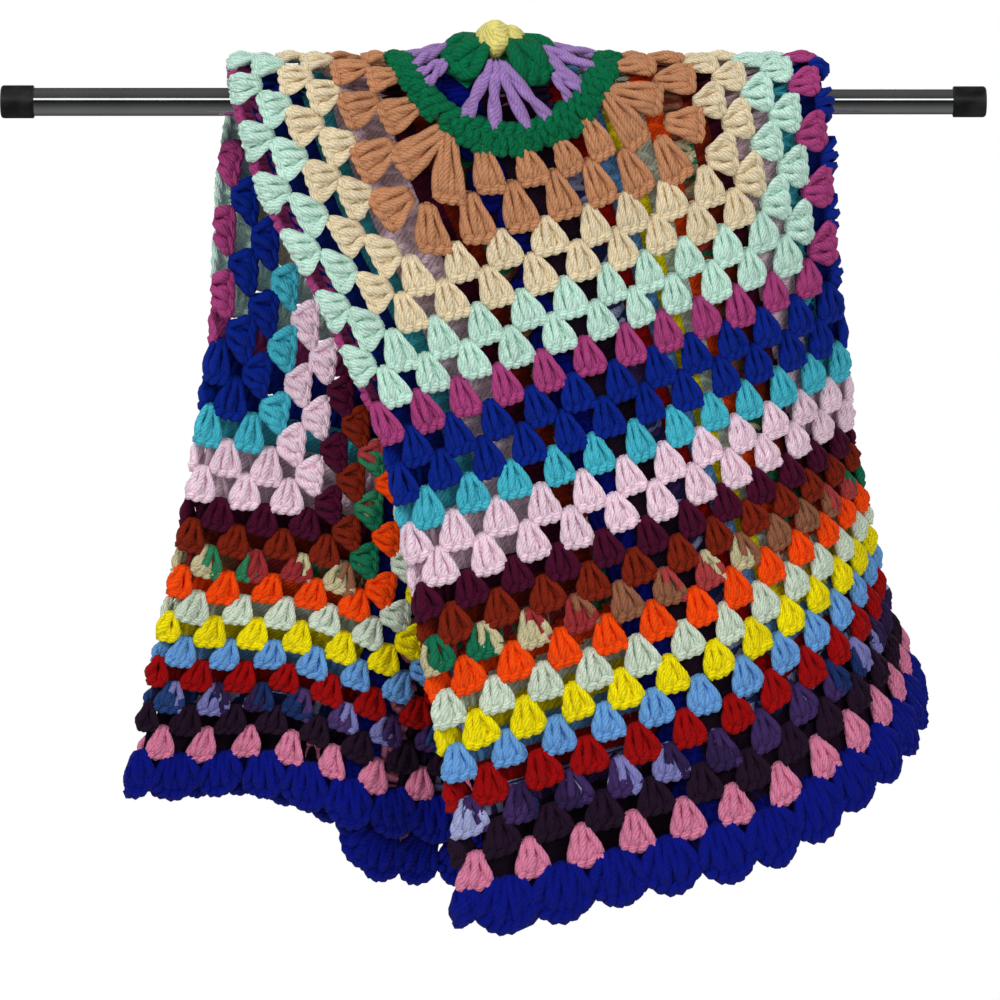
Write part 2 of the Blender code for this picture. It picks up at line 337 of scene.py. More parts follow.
def closed_faces(count, rings, sides):
    """The faces of closed bodies that are each a point, rings of points and one more point:
    four-sided from ring to ring, and three-sided round both end points."""
    each = rings * sides + 2
    first = each * np.arange(count)[:, None, None]
    i, j = np.arange(rings - 1)[None, :, None], np.arange(sides)[None, None, :]
    after = (j + 1) % sides
    here, beyond = first + 1 + i * sides, first + 1 + (i + 1) * sides
    quads = np.stack([here + j, beyond + j, beyond + after, here + after], axis=-1)
    first, j, after = first[:, 0], j[0], after[0]
    last_ring = first + 1 + (rings - 1) * sides
    start = np.stack([first + 0 * j, first + 1 + j, first + 1 + after], axis=-1)
    end = np.stack([first + each - 1 + 0 * j, last_ring + after, last_ring + j], axis=-1)
    return quads, np.concatenate([start, end], axis=1)


def turned_over(faces):
    """The same faces, pointing the other way."""
    return np.roll(faces[..., ::-1], 1, axis=-1)


def strands(paths, radii, sides, tone, skein, thinned=1.0):
    """Round strands carried along paths: paths has one row of flat points for each strand, radii
    the strand's radius at each point. Every ring is the path's point plus radius times cosine and
    sine of the angle, across the path and up from the cloth, where it may be thinned to an oval.
    Both ends close in a point. tone and skein are one number for each strand: its own shade, and
    its place along the dyed yarn."""
    count, steps = paths.shape[:2]
    along = np.gradient(paths, axis=1)
    along /= np.maximum(np.linalg.norm(along, axis=-1, keepdims=True), 1e-9)
    up = np.where(np.abs(along[..., 2:]) > UPRIGHT, (0.0, 1.0, 0.0), (0.0, 0.0, 1.0))
    across = np.cross(along, up)
    across /= np.linalg.norm(across, axis=-1, keepdims=True)
    lifted = np.cross(across, along) * thinned
    angle = TAU * np.arange(sides) / sides
    ring = np.cos(angle)[:, None] * across[:, :, None] + np.sin(angle)[:, None] * lifted[:, :, None]
    radii = np.broadcast_to(radii, (count, steps))
    rings = paths[:, 1:-1, None] + radii[:, 1:-1, None, None] * ring[:, 1:-1]
    flat = np.concatenate([paths[:, :1], rings.reshape(count, -1, 3), paths[:, -1:]], axis=1)
    quads, triangles = closed_faces(count, steps - 2, sides)

    steps_long = np.linalg.norm(np.diff(paths, axis=1), axis=-1)
    length = np.concatenate([np.zeros((count, 1)), np.cumsum(steps_long, axis=1)], axis=1)
    low, high = length[:, 1:-2, None], length[:, 2:-1, None]
    turn, next_turn = np.arange(sides) / sides, np.arange(1, sides + 1) / sides
    quad_uv = corner_uv((turn, low), (turn, high), (next_turn, high), (next_turn, low))
    second, before_last, last = length[:, 1:2], length[:, -2:-1], length[:, -1:]
    start_uv = corner_uv((turn, 0.0), (turn, second), (next_turn, second))
    end_uv = corner_uv((turn, last), (next_turn, before_last), (turn, before_last))
    return {
        "points": hung(flat).reshape(-1, 3),
        "quads": quads.reshape(-1, 4),
        "quad_uv": quad_uv.reshape(-1, 2),
        "triangles": triangles.reshape(-1, 3),
        "triangle_uv": np.concatenate([start_uv, end_uv], axis=1).reshape(-1, 2),
        "tone": np.repeat(np.broadcast_to(tone, (count,)), flat.shape[1]),
        "skein": np.repeat(np.broadcast_to(skein, (count,)), flat.shape[1]),
    }


def four_sided(points, quads, quad_uv, tone, skein):
    """Mesh arrays that have four-sided faces alone."""
    return {
        "points": points,
        "quads": quads,
        "quad_uv": quad_uv,
        "triangles": np.zeros((0, 3), int),
        "triangle_uv": np.zeros((0, 2)),
        "tone": tone,
        "skein": skein,
    }


def joined(parts):
    """One set of mesh arrays from several, with the point numbers moved on."""
    starts = np.cumsum([0] + [len(part["points"]) for part in parts[:-1]])
    whole = {}
    for key in parts[0]:
        moved = key in ("quads", "triangles")
        whole[key] = np.concatenate(
            [part[key] + (start if moved else 0) for part, start in zip(parts, starts)]
        )
    return whole


def linked(name, data):
    """A new object with this data, put in the scene."""
    piece = bpy.data.objects.new(name, data)
    bpy.context.collection.objects.link(piece)
    return piece


def mesh_object(name, arrays, materials, material_index=None):
    """A smooth mesh object from arrays of points, four-sided and three-sided faces, their UVs
    and the tone and skein of each point."""
    quads, triangles = arrays["quads"], arrays["triangles"]
    mesh = bpy.data.meshes.new(name)
    mesh.vertices.add(len(arrays["points"]))
    mesh.vertices.foreach_set("co", arrays["points"].astype(np.float32).ravel())
    corners = np.concatenate([quads.ravel(), triangles.ravel()]).astype(np.int32)
    sizes = np.concatenate([np.full(len(quads), 4), np.full(len(triangles), 3)])
    starts = np.concatenate([[0], np.cumsum(sizes)[:-1]])
    mesh.loops.add(len(corners))
    mesh.loops.foreach_set("vertex_index", corners)
    mesh.polygons.add(len(sizes))
    mesh.polygons.foreach_set("loop_start", starts.astype(np.int32))
    mesh.polygons.foreach_set("loop_total", sizes.astype(np.int32))
    mesh.update(calc_edges=True)
    uv = mesh.uv_layers.new(name="strand")
    both = np.concatenate([arrays["quad_uv"], arrays["triangle_uv"]])
    uv.data.foreach_set("uv", both.astype(np.float32).ravel())
    for key in ("tone", "skein"):
        layer = mesh.attributes.new(key, "FLOAT", "POINT")
        layer.data.foreach_set("value", arrays[key].astype(np.float32))
    mesh.polygons.foreach_set("use_smooth", np.ones(len(sizes), bool))
    for material in materials:
        mesh.materials.append(material)
    if material_index is not None:
        mesh.polygons.foreach_set("material_index", material_index.astype(np.int32))
    mesh.update()
    return linked(name, mesh)


def in_the_flat(base, axis, x, y, raised):
    """Places local points, x across a cluster and y along it, on the flat blanket."""
    shape = (len(base),) + (1,) * (x.ndim - 1)
    axis_u, axis_v = axis[:, 0].reshape(shape), axis[:, 1].reshape(shape)
    u = base[:, 0].reshape(shape) + axis_u * y + axis_v * x
    v = base[:, 1].reshape(shape) + axis_v * y - axis_u * x
    return np.stack([u, v, raised + 0 * u], axis=-1)


# --- Stitches -------------------------------------------------

POST_RADIUS = 2.75 * MM
CHAIN_RADIUS = 2.3 * MM
CHAIN_SWING = 1.7 * MM
ROOT_SPREAD = 1.8 * MM
PARTING = (0.9 * MM, 1.7 * MM)
# Two strands that wind round each other are half a turn apart.
BOTH_PHASES = np.array([0.0, math.pi])
TUCK = 4.7 * MM
TUCKED_UNDER = -2.2 * MM
TOP_RISE = 1.2 * MM
TOP_DIVE = 3.0 * MM
EDGE_ARC = 0.8 * MM
POST_STAGGER = 0.5 * MM
CHAIN_LEVEL = 0.7 * MM
BELLY = 1.0 * MM
DYE_STEP = 0.16
FINE_SIDES = 5
COARSE_SIDES = 4
COARSE_RADIUS = 3.0 * MM
COARSE_ROOT_SPREAD = 5.5 * MM
COARSE_WIDENING = 1.28
COARSE_THINNED = 0.7
COARSE_SLOPE = 2.2 * MM

# How uneven hand work is, in millimetres: how far a cluster leans, how far its top strays, how
# far a post leans and how far its height differs.
CLUSTER_LEAN, TOP_STRAY, POST_LEAN, POST_STRAY = 0.8, 1.3, 0.5, 0.6


def uneven(noise, most, shape):
    """Random lengths up to so many millimetres either way."""
    return noise.uniform(-most, most, shape) * MM


def cluster_frames(base, top, width, noise):
    """For each cluster its length, direction, width, shade and place along the dyed yarn, a
    little uneven."""
    axis = top - base
    tall = np.linalg.norm(axis, axis=1)
    count = len(base)
    width = width * noise.uniform(0.93, 1.05, count)
    tone = noise.uniform(-1, 1, count)
    skein = np.arange(count) + noise.uniform(-0.3, 0.3, count)
    return tall, axis / tall[:, None], width, tone, skein


def wound_posts(base, frames, tilt, noise, posts, arc, belly, size):
    """The posts of each cluster. They start close together, spread like a bell and dive under the
    chained edge. Each is two strands that wind round each other, every other post the other way."""
    tall, axis, width, tone, skein = frames
    count, steps = len(base), 10
    every_post = (count, posts, 1, 1)
    w = np.linspace(0, 1, steps)[None, None, None, :]
    place = (np.arange(posts) - (posts - 1) / 2)[None, :, None, None]
    pair = np.array([-1.0, 1.0])[None, None, :, None]
    height, room = tall[:, None, None, None], width[:, None, None, None]
    step = (room - 2 * (0.95 * POST_RADIUS + PARTING[1]) * size) / (posts - 1)
    opened = 0.92 * np.sin(0.5 * math.pi * np.clip(w / 0.8, 0, 1)) + 0.08 * smooth((w - 0.7) / 0.3)
    lean = uneven(noise, POST_LEAN, every_post) + tilt[:, None, None, None]
    middle = place * (ROOT_SPREAD * size + (step - ROOT_SPREAD * size) * opened) + lean * opened
    edge = 1 - arc / height * (2 * np.abs(place) / posts) ** 2
    y = height * (0.95 * edge * w + 0.01) + uneven(noise, POST_STRAY, every_post) * w
    parting = (PARTING[0] + (PARTING[1] - PARTING[0]) * smooth((w - 0.3) / 0.4)) * size
    hand = np.where(np.arange(posts) % 2 == 0, 1.0, -1.0)[None, :, None, None]
    twist = hand * math.pi * (0.1 + w) + noise.uniform(-0.4, 0.4, every_post)
    x = middle + pair * parting * np.cos(twist)
    over = TOP_RISE * smooth((w - 0.35) / 0.35) - TOP_DIVE * smooth((w - 0.82) / 0.18)
    raised = belly * np.sin(math.pi * w) + TUCKED_UNDER * (1 - smooth(w / 0.25)) + over * size
    raised = raised + 0.9 * pair * parting * np.sin(twist) + POST_STAGGER * np.cos(math.pi * place)
    paths = in_the_flat(base, axis, x, y, raised).reshape(-1, steps, 3)
    knob = 0.10 * np.exp(-(((w[0, 0] - 0.7) / 0.2) ** 2))
    radii = POST_RADIUS * size * (0.80 + 0.14 * w[0, 0] + knob)
    radii = radii * noise.uniform(0.94, 1.06, (len(paths), 1))
    shade = np.repeat(tone, 2 * posts) + noise.uniform(-0.6, 0.6, count * 2 * posts)
    dyed = (skein[:, None] + DYE_STEP * np.arange(2 * posts)).ravel()
    return strands(paths, radii, FINE_SIDES, shade, dyed)


def chained_edge(base, frames, tilt, noise, posts, arc, size):
    """The chained edge of each cluster: two strands that wind round each other like a cosine and
    a sine, along a shallow arc."""
    tall, axis, width, tone, skein = frames
    count, steps = len(base), 3 * posts + 2
    w = np.linspace(0, 1, steps)[None, None, :]
    phase = BOTH_PHASES[None, :, None]
    wind = math.pi * (posts + 0.5) * w + phase + noise.uniform(0, TAU, (count, 1, 1))
    height, room = tall[:, None, None], width[:, None, None]
    x = (w - 0.5) * (room - 0.7 * CHAIN_RADIUS * size) + tilt[:, None, None] + 0 * phase
    y = height * 0.92 - arc * (2 * w - 1) ** 2 + CHAIN_SWING * size * np.sin(wind)
    raised = (0.8 * CHAIN_SWING * np.cos(wind) + CHAIN_LEVEL) * size
    paths = in_the_flat(base, axis, x, y, raised).reshape(-1, steps, 3)
    radii = CHAIN_RADIUS * size * (1 + 0.14 * np.sin(2 * wind + 1)).reshape(-1, steps)
    shade = np.repeat(tone, 2) + noise.uniform(-0.4, 0.8, 2 * count)
    return strands(paths, radii, FINE_SIDES, shade, np.repeat(skein + 0.5, 2))


def fine_clusters(base, top, width, noise, posts=3, arc=EDGE_ARC, belly=BELLY, size=1.0):
    """Clusters of tall stitches, each from its base to its top on the flat blanket: its posts and
    its chained edge."""
    top = top + uneven(noise, TOP_STRAY, top.shape)
    frames = cluster_frames(base, top, width, noise)
    tilt = uneven(noise, CLUSTER_LEAN, len(base))
    made = [wound_posts(base, frames, tilt, noise, posts, arc, belly, size)]
    made.append(chained_edge(base, frames, tilt, noise, posts, arc, size))
    return joined(made)


def coarse_clusters(base, top, width, noise, posts, size, arc):
    """The clusters inside the folds, which show through gaps and, from behind, between the flaps:
    broad flat posts of one strand each, close to their neighbours, with one strand along the
    edge. Those whose edge is a deep arc, as on the border, keep their width."""
    widening = COARSE_WIDENING if arc == EDGE_ARC else 1.0
    tall, axis, width, tone, skein = cluster_frames(base, top, widening * width, noise)
    tall, width = tall[:, None], width[:, None]
    posts, steps = posts + 1, 6
    w = np.linspace(0, 1, steps)[None, None, :]
    place = (np.arange(posts) - (posts - 1) / 2)[None, :, None]
    thick = COARSE_RADIUS * size
    step = (width[:, :, None] - 2 * thick) / (posts - 1)
    root = COARSE_ROOT_SPREAD * size
    x = place * (root + (step - root) * smooth(w / 0.6))
    y = (0.97 * tall[:, :, None] - arc * (2 * place / posts) ** 2) * w
    raised = COARSE_SLOPE * (w - 0.6)
    paths = in_the_flat(base, axis, x, y, raised).reshape(-1, steps, 3)
    radii = thick * (0.95 + 0.1 * w[0])
    tones, skeins = np.repeat(tone, posts), np.repeat(skein, posts)
    made = [strands(paths, radii, COARSE_SIDES, tones, skeins, COARSE_THINNED)]
    w = w[:, 0]
    x = (w - 0.5) * (width - thick)
    y = 0.95 * tall - arc * (2 * w - 1) ** 2
    paths = in_the_flat(base, axis, x, y, 0.4 * COARSE_SLOPE)
    made.append(strands(paths, thick + 0 * w, COARSE_SIDES, tone, skein, COARSE_THINNED))
    return joined(made)


def all_clusters(base, top, width, noise, posts=3, size=1.0, arc=EDGE_ARC):
    """Fine clusters where they show close, and coarse ones inside the folds."""
    near = shows_close(base, top)
    made = []
    if near.any():
        made.append(fine_clusters(base[near], top[near], width, noise, posts, arc, size=size))
    if not near.all():
        made.append(coarse_clusters(base[~near], top[~near], width, noise, posts, size, arc))
    return joined(made)


# The roots of the first tan round, which stand on the green ring.
ROOT_RING = 2.0 * MM
ROOT_REACH = 0.72
QUARTER_TURN = np.array([[0, 1], [-1, 0]])


def round_places(number, inner, height):
    """Bases and tops of a round's clusters, on the flat blanket: number + 1 on each side, evenly
    spaced, with each base in the gap of the round before. Those of the first tan round stand on
    a ring instead."""
    middle = inner + height / 2
    order = np.arange(number + 1) - number / 2
    top_across = order * 2 * middle / (number + 1)
    base_across = order * 2 * (middle - height) / number
    out_at_base = np.full(number + 1, inner - TUCK)
    if number == FIRST_ROUND:
        ring = inner + ROOT_RING
        base_across = np.clip(base_across, -ROOT_REACH * ring, ROOT_REACH * ring)
        out_at_base = np.sqrt(ring**2 - base_across**2)
    base = np.stack([base_across, out_at_base], axis=-1)
    top = np.stack([top_across, np.full(number + 1, inner + height)], axis=-1)
    turns = [np.linalg.matrix_power(QUARTER_TURN, quarter) for quarter in range(4)]
    return tuple(np.concatenate([points @ turn for turn in turns]) for points in (base, top))


# How far past each fold the clusters of the panel still show, how far down in front of the rod
# those of the left flap do, and where the corner that hangs out starts.
PAST_LEFT_FOLD, PAST_RIGHT_FOLD = 12.0 * MM, 22.0 * MM
FLAP_OVER_ROD = 20.0 * MM
LOW_CORNER = 0.33


def shows_close(base, top):
    """True for clusters that are seen from near: those of the middle panel, of the left flap
    behind and of the corner that hangs out under it. The rest are inside the folds."""
    u, v = ((base + top) / 2).T
    strip, _, _, left = folded(u, 0.0)
    in_panel = (u > LEFT_FOLD - PAST_LEFT_FOLD) & (u < RIGHT_FOLD + PAST_RIGHT_FOLD)
    behind = run_down(strip, v) < FLAP_OVER_ROD
    corner = (u > LOW_CORNER) & (v > BORDER_START)
    return in_panel | (left & behind) | corner


# --- Yarn and other finishes ----------------------------------

PLIES = 6
PLY_LAY = 16.0 * MM
# Painted shade of the plies: how much lighter each ridge is than the groove beside it, and the
# value of the colour down in a groove.
PLY_PAINTED_SHADE = 0.42
GROOVE_LIGHT = 0.74
TONE_STEP = 0.045
DYE_CHANGE = 35.0
DYE_WANDER = 0.25
WANDER_SCALE, FUZZ_SCALE, CLOUD_SCALE = 330, 1500, 190
MOTTLE, FLECKS = 0.5, 0.9
RIDGE_HEIGHT, FUZZ_SHARE = 0.45 * MM, 1.1


def linear(colour):
    """The light of a display colour: its power of 2.2."""
    return tuple(channel**2.2 for channel in colour) + (1.0,)


def node_tree(name):
    """A new material with an empty tree of nodes, its shader and its output."""
    material = bpy.data.materials.new(name)
    material.use_nodes = True
    tree = material.node_tree
    tree.nodes.clear()
    output = tree.nodes.new("ShaderNodeOutputMaterial")
    shader = tree.nodes.new("ShaderNodeBsdfPrincipled")
    tree.links.new(shader.outputs[0], output.inputs[0])
    return material, tree, shader


def sums(tree, operation, first, second=0.0):
    """A Math node, for which first and second are sockets or numbers."""
    node = tree.nodes.new("ShaderNodeMath")
    node.operation = operation
    for socket, value in zip(node.inputs, (first, second)):
        if hasattr(value, "links"):
            tree.links.new(value, socket)
        else:
            socket.default_value = value
    return node.outputs[0]


def attribute_of(tree, name):
    """A number that every point of a mesh carries."""
    node = tree.nodes.new("ShaderNodeAttribute")
    node.attribute_name = name
    return node.outputs["Fac"]


def noise_of(tree, place, scale, detail=2.0):
    """Soft noise read at a place."""
    node = tree.nodes.new("ShaderNodeTexNoise")
    node.inputs["Scale"].default_value = scale
    node.inputs["Detail"].default_value = detail
    tree.links.new(place, node.inputs["Vector"])
    return node.outputs[0]


def ramp_of(tree, value, stops, interpolation="LINEAR"):
    """A colour ramp read at a value. Each stop is a spot and the light there."""
    node = tree.nodes.new("ShaderNodeValToRGB")
    node.color_ramp.interpolation = interpolation
    elements = node.color_ramp.elements
    for index, (spot, light) in enumerate(stops):
        element = elements[index] if index < 2 else elements.new(spot)
        element.position = spot
        element.color = light
    tree.links.new(value, node.inputs[0])
    return node.outputs[0]


def bump_up(tree, shader, height, strength, distance):
    """Raises the shader's surface by a height."""
    node = tree.nodes.new("ShaderNodeBump")
    node.inputs["Strength"].default_value = strength
    node.inputs["Distance"].default_value = distance
    tree.links.new(height, node.inputs["Height"])
    tree.links.new(node.outputs[0], shader.inputs["Normal"])


def dyed_along(tree, colours, length, wander):
    """The colour of a yarn along its skein: one of its colours for each length dyed at once."""
    drift = sums(tree, "MULTIPLY", wander, DYE_WANDER)
    wound = sums(tree, "ADD", sums(tree, "MULTIPLY", length, DYE_CHANGE), drift)
    spot = sums(tree, "ADD", attribute_of(tree, "skein"), wound)
    lengths = tree.nodes.new("ShaderNodeTexWhiteNoise")
    lengths.noise_dimensions = "1D"
    tree.links.new(sums(tree, "FLOOR", spot), lengths.inputs["W"])
    stops = [(index / len(colours), linear(colour)) for index, colour in enumerate(colours)]
    return ramp_of(tree, lengths.outputs["Value"], stops, "CONSTANT")


def yarn(name, colours):
    """Plied yarn: its plies are slanting ridges round each strand, with painted shade in the
    grooves between them, and fine fuzz. A yarn of several colours changes along the skein."""
    material, tree, shader = node_tree("yarn_" + name)
    nodes, links = tree.nodes, tree.links
    strand = nodes.new("ShaderNodeUVMap")
    strand.uv_map = "strand"
    split = nodes.new("ShaderNodeSeparateXYZ")
    links.new(strand.outputs[0], split.inputs[0])
    place = nodes.new("ShaderNodeTexCoord").outputs["Object"]
    wander = noise_of(tree, place, WANDER_SCALE, 1)
    fuzz = noise_of(tree, place, FUZZ_SCALE)
    cloud = noise_of(tree, place, CLOUD_SCALE, 3)

    around = sums(tree, "MULTIPLY", split.outputs[0], PLIES)
    along = sums(tree, "MULTIPLY", split.outputs[1], PLIES / PLY_LAY)
    lay = sums(tree, "ADD", sums(tree, "ADD", around, along), wander)
    ply = sums(tree, "ABSOLUTE", sums(tree, "SINE", sums(tree, "MULTIPLY", lay, math.pi)))

    if len(colours) > 1:
        dyed = dyed_along(tree, colours, split.outputs[1], wander)
    else:
        plain = nodes.new("ShaderNodeRGB")
        plain.outputs[0].default_value = linear(colours[0])
        dyed = plain.outputs[0]

    # The tone each point carries: a random shade of its strand, and on the strips of the ground
    # their painted shade.
    shade = sums(tree, "MULTIPLY", attribute_of(tree, "tone"), TONE_STEP)
    mottle = sums(tree, "MULTIPLY", sums(tree, "SUBTRACT", cloud, 0.5), MOTTLE)
    flecks = sums(tree, "MULTIPLY", sums(tree, "SUBTRACT", fuzz, 0.5), FLECKS)
    # Painted shade: the colour is darker in the grooves between plies and lighter on their ridges.
    depth = sums(tree, "MULTIPLY", sums(tree, "POWER", ply, 0.7), PLY_PAINTED_SHADE)
    value = sums(tree, "ADD", sums(tree, "ADD", shade, flecks), mottle)
    value = sums(tree, "ADD", value, sums(tree, "ADD", depth, GROOVE_LIGHT))
    lit = nodes.new("ShaderNodeHueSaturation")
    links.new(dyed, lit.inputs["Color"])
    links.new(value, lit.inputs["Value"])
    links.new(lit.outputs[0], shader.inputs["Base Color"])

    height = sums(tree, "ADD", ply, sums(tree, "MULTIPLY", fuzz, FUZZ_SHARE))
    bump_up(tree, shader, height, 0.8, RIDGE_HEIGHT)
    rough = sums(tree, "ADD", sums(tree, "MULTIPLY", fuzz, 0.15), 0.75)
    links.new(rough, shader.inputs["Roughness"])
    shader.inputs["Sheen Weight"].default_value = 0.02
    shader.inputs["Sheen Roughness"].default_value = 0.45
    shader.inputs["Specular IOR Level"].default_value = 0.25
    return material


def chrome():
    """Bright chromed steel with faint scratches round the tube and a little cloudiness."""
    material, tree, shader = node_tree("chromed_steel")
    place = tree.nodes.new("ShaderNodeTexCoord").outputs["Object"]
    stretch = tree.nodes.new("ShaderNodeMapping")
    stretch.inputs["Scale"].default_value = (900, 30, 30)
    tree.links.new(place, stretch.inputs[0])
    lines = noise_of(tree, stretch.outputs[0], 1)
    cloud = noise_of(tree, place, 35)
    rough = sums(tree, "MULTIPLY", cloud, 0.10)
    rough = sums(tree, "ADD", sums(tree, "MULTIPLY", lines, 0.06), rough)
    tree.links.new(sums(tree, "ADD", rough, 0.015), shader.inputs["Roughness"])
    bump_up(tree, shader, lines, 0.05, 0.1 * MM)
    stops = ((0.0, (0.62, 0.63, 0.65, 1)), (1.0, (0.80, 0.81, 0.82, 1)))
    tree.links.new(ramp_of(tree, cloud, stops), shader.inputs["Base Color"])
    shader.inputs["Metallic"].default_value = 1.0
    return material


def rubber():
    """Black moulded rubber, satin, with a fine grain and dusty patches."""
    material, tree, shader = node_tree("moulded_rubber")
    place = tree.nodes.new("ShaderNodeTexCoord").outputs["Object"]
    grain = noise_of(tree, place, 2200)
    dust = noise_of(tree, place, 90, 4)
    stops = ((0.4, (0.006, 0.006, 0.007, 1)), (0.8, (0.03, 0.03, 0.032, 1)))
    tree.links.new(ramp_of(tree, dust, stops), shader.inputs["Base Color"])
    rough = sums(tree, "ADD", sums(tree, "MULTIPLY", dust, 0.25), 0.3)
    tree.links.new(rough, shader.inputs["Roughness"])
    bump_up(tree, shader, grain, 0.2, 0.1 * MM)
    return material


YARN = {name: yarn(name, colours) for name, colours in YARNS.items()}
CHROME = chrome()
RUBBER = rubber()

# --- The blanket ----------------------------------------------

places = []
inner_reach = CENTRE_REACH
for order, (yarn_name, height, share) in enumerate(ROUNDS):
    number = FIRST_ROUND + order
    base, top = round_places(number, inner_reach, height)
    pitch = 2 * (inner_reach + height / 2) / (number + 1)
    places.append((number, yarn_name, base, top, share * pitch, pitch))
    inner_reach += height

pieces = []
for number, yarn_name, base, top, room, _ in places:
    made = all_clusters(base, top, room, np.random.default_rng(number))
    pieces.append(mesh_object(f"round_{number:02d}_{yarn_name}", made, [YARN[yarn_name]]))

BORDER_ROUND = FIRST_ROUND + len(ROUNDS)
SHELL_HEIGHT = 24.0 * MM
SHELL_WIDTH = 35.0 * MM
SHELL_PITCH = 0.95 * SHELL_WIDTH
SHELL_ARC = 11.0 * MM
SHELL_POSTS, SHELL_SIZE = 6, 1.35
CORNER_TUCK = 2 * MM
CORNER_SHELL = 0.72
FOLD_REACH = 15.0 * MM
FOLD_SHORTENING = 0.4


def shell_places():
    """Bases and tops of the border's shells, one for each gap of the last round and one on each
    corner. They are shorter where the left fold meets the front hem."""
    base, top = round_places(BORDER_ROUND, BORDER_START, SHELL_HEIGHT)
    corner = BORDER_START - CORNER_TUCK
    signs = np.array([(1, 1), (1, -1), (-1, -1), (-1, 1)])
    base = np.concatenate([base, corner * signs])
    top = np.concatenate([top, (corner + CORNER_SHELL * SHELL_HEIGHT) * signs])
    at_fold = np.exp(-(((base[:, 0] - LEFT_FOLD) / FOLD_REACH) ** 2)) * (base[:, 1] < 0)
    return base, top - FOLD_SHORTENING * (top - base) * at_fold[:, None]


def border():
    """Shells all round the edge: wide clusters of six posts whose chained edge is an arc."""
    base, top = shell_places()
    noise = np.random.default_rng(BORDER_ROUND)
    made = all_clusters(base, top, SHELL_WIDTH, noise, SHELL_POSTS, SHELL_SIZE, SHELL_ARC)
    return mesh_object(f"round_{BORDER_ROUND}_border_shells", made, [YARN["navy"]])


pieces.append(border())


def puffs(centres, sizes, ribs, tone):
    """Puffs of soft yarn: balls on a grid of latitude and longitude, ribbed by a cosine of the
    longitude and squeezed at the foot."""
    count, rings, sides = len(centres), 12, 20
    latitude = np.linspace(-math.pi / 2, math.pi / 2, rings)[None, :, None]
    longitude = (TAU * np.arange(sides) / sides)[None, None, :]
    rib = 1 + 0.10 * np.cos(ribs * longitude + 1.5 * np.sin(latitude)) * np.cos(latitude)
    out = np.cos(latitude) * rib * (1 + 0.12 * np.sin(latitude))
    up = np.sin(latitude) + 0 * longitude
    local = np.stack([out * np.cos(longitude), out * np.sin(longitude), up], axis=-1)
    grid = centres[:, None, None, :] + local * sizes[:, None, None, :]
    south, north = centres - sizes * (0, 0, 1), centres + sizes * (0, 0, 1)
    rounds = grid[:, 1:-1].reshape(count, -1, 3)
    flat = np.concatenate([south[:, None], rounds, north[:, None]], axis=1)
    quads, triangles = (turned_over(faces) for faces in closed_faces(count, rings - 2, sides))

    ring_step = sizes.max() * math.pi / rings
    low = ring_step * np.arange(rings - 3)[:, None]
    high = low + ring_step
    turn, next_turn = 2 * np.arange(sides) / sides, 2 * np.arange(1, sides + 1) / sides
    quad_uv = corner_uv((turn, low), (next_turn, low), (next_turn, high), (turn, high))
    return {
        "points": hung(flat).reshape(-1, 3),
        "quads": quads.reshape(-1, 4),
        "quad_uv": np.broadcast_to(quad_uv, quads.shape + (2,)).reshape(-1, 2),
        "triangles": triangles.reshape(-1, 3),
        "triangle_uv": np.zeros((triangles.size, 2)),
        "tone": np.full(count * flat.shape[1], tone),
        "skein": np.zeros(count * flat.shape[1]),
    }


# The flower: the puffs of its heart, its petals, the fans between them, the short posts over each
# petal and the ring round it all.
PUFF_REACH = 10.5 * MM
PUFF_ANGLES = np.radians((-135, -50, 40, 130))
PUFF_HEIGHTS = np.array([4.0, 3.5, 3.5, 4.0]) * MM
PUFF_SIZES = np.array([(12, 12, 12), (8, 8, 9), (8, 8, 8), (9, 9, 9)]) * MM
PETAL_ANGLES = np.radians((-57, 24, 115, -161))
PETAL_START, PETAL_END, PETAL_WIDTH = 8 * MM, 41 * MM, 40 * MM
PETAL_ARC, PETAL_BELLY, PETAL_SIZE = 11 * MM, 6 * MM, 1.9
FAN_ANGLES = np.radians((-108, -31, 70, 158))
FAN_SWING = np.radians((-21, -4, 15, 30))
FAN_LEAN, ROOT_SWING = 0.12, 0.2
FAN_START, FAN_END, FAN_THICK = 25 * MM, 66 * MM, 3.1 * MM
FAN_PARTING, FAN_LIFT, FAN_TURNS = 1.5 * MM, 1.4 * MM, 1.1
FAN_ROOT_RISE, FAN_BELLY = 7.0 * MM, 3.0 * MM
SHORT_ROOTS = np.radians((-1.5, 1.5))
SHORT_SWING = np.radians((-4.5, 4.5))
SHORT_START, SHORT_END, SHORT_THICK = 43 * MM, 64 * MM, 2.2 * MM
RING_STITCHES = 42
RING_START, RING_END, RING_WIDTH = 57 * MM, 75 * MM, 14 * MM
ROPE_WINDS = 30
ROPE_REACH, ROPE_SWING, ROPE_THICK = 63.5 * MM, 3.0 * MM, 3.3 * MM
ROPE_LEVEL, ROPE_LIFT = 0.8 * MM, 2.0 * MM
RING_STRAY, RING_SIZE = 1.5, 1.1


def spoke(radius, angle):
    """A point of the flat flower at that radius and angle."""
    return np.stack([radius * np.cos(angle), radius * np.sin(angle)], axis=-1)


def flower_heart():
    """Four puffs in a ring, the popcorn stitches of the first round. The one in front on the left
    is the biggest."""
    centres = np.column_stack([spoke(PUFF_REACH, PUFF_ANGLES), PUFF_HEIGHTS])
    made = puffs(centres, PUFF_SIZES, ribs=7, tone=0.4)
    return mesh_object("round_01_heart", made, [YARN["pale_yellow"]])


def petals():
    """Four petals, each a fan of four thick posts with a chained edge."""
    made = fine_clusters(
        spoke(PETAL_START, PETAL_ANGLES),
        spoke(PETAL_END, PETAL_ANGLES),
        PETAL_WIDTH,
        np.random.default_rng(2),
        posts=4,
        arc=PETAL_ARC,
        belly=PETAL_BELLY,
        size=PETAL_SIZE,
    )
    return mesh_object("round_02_petals", made, [YARN["green"]])


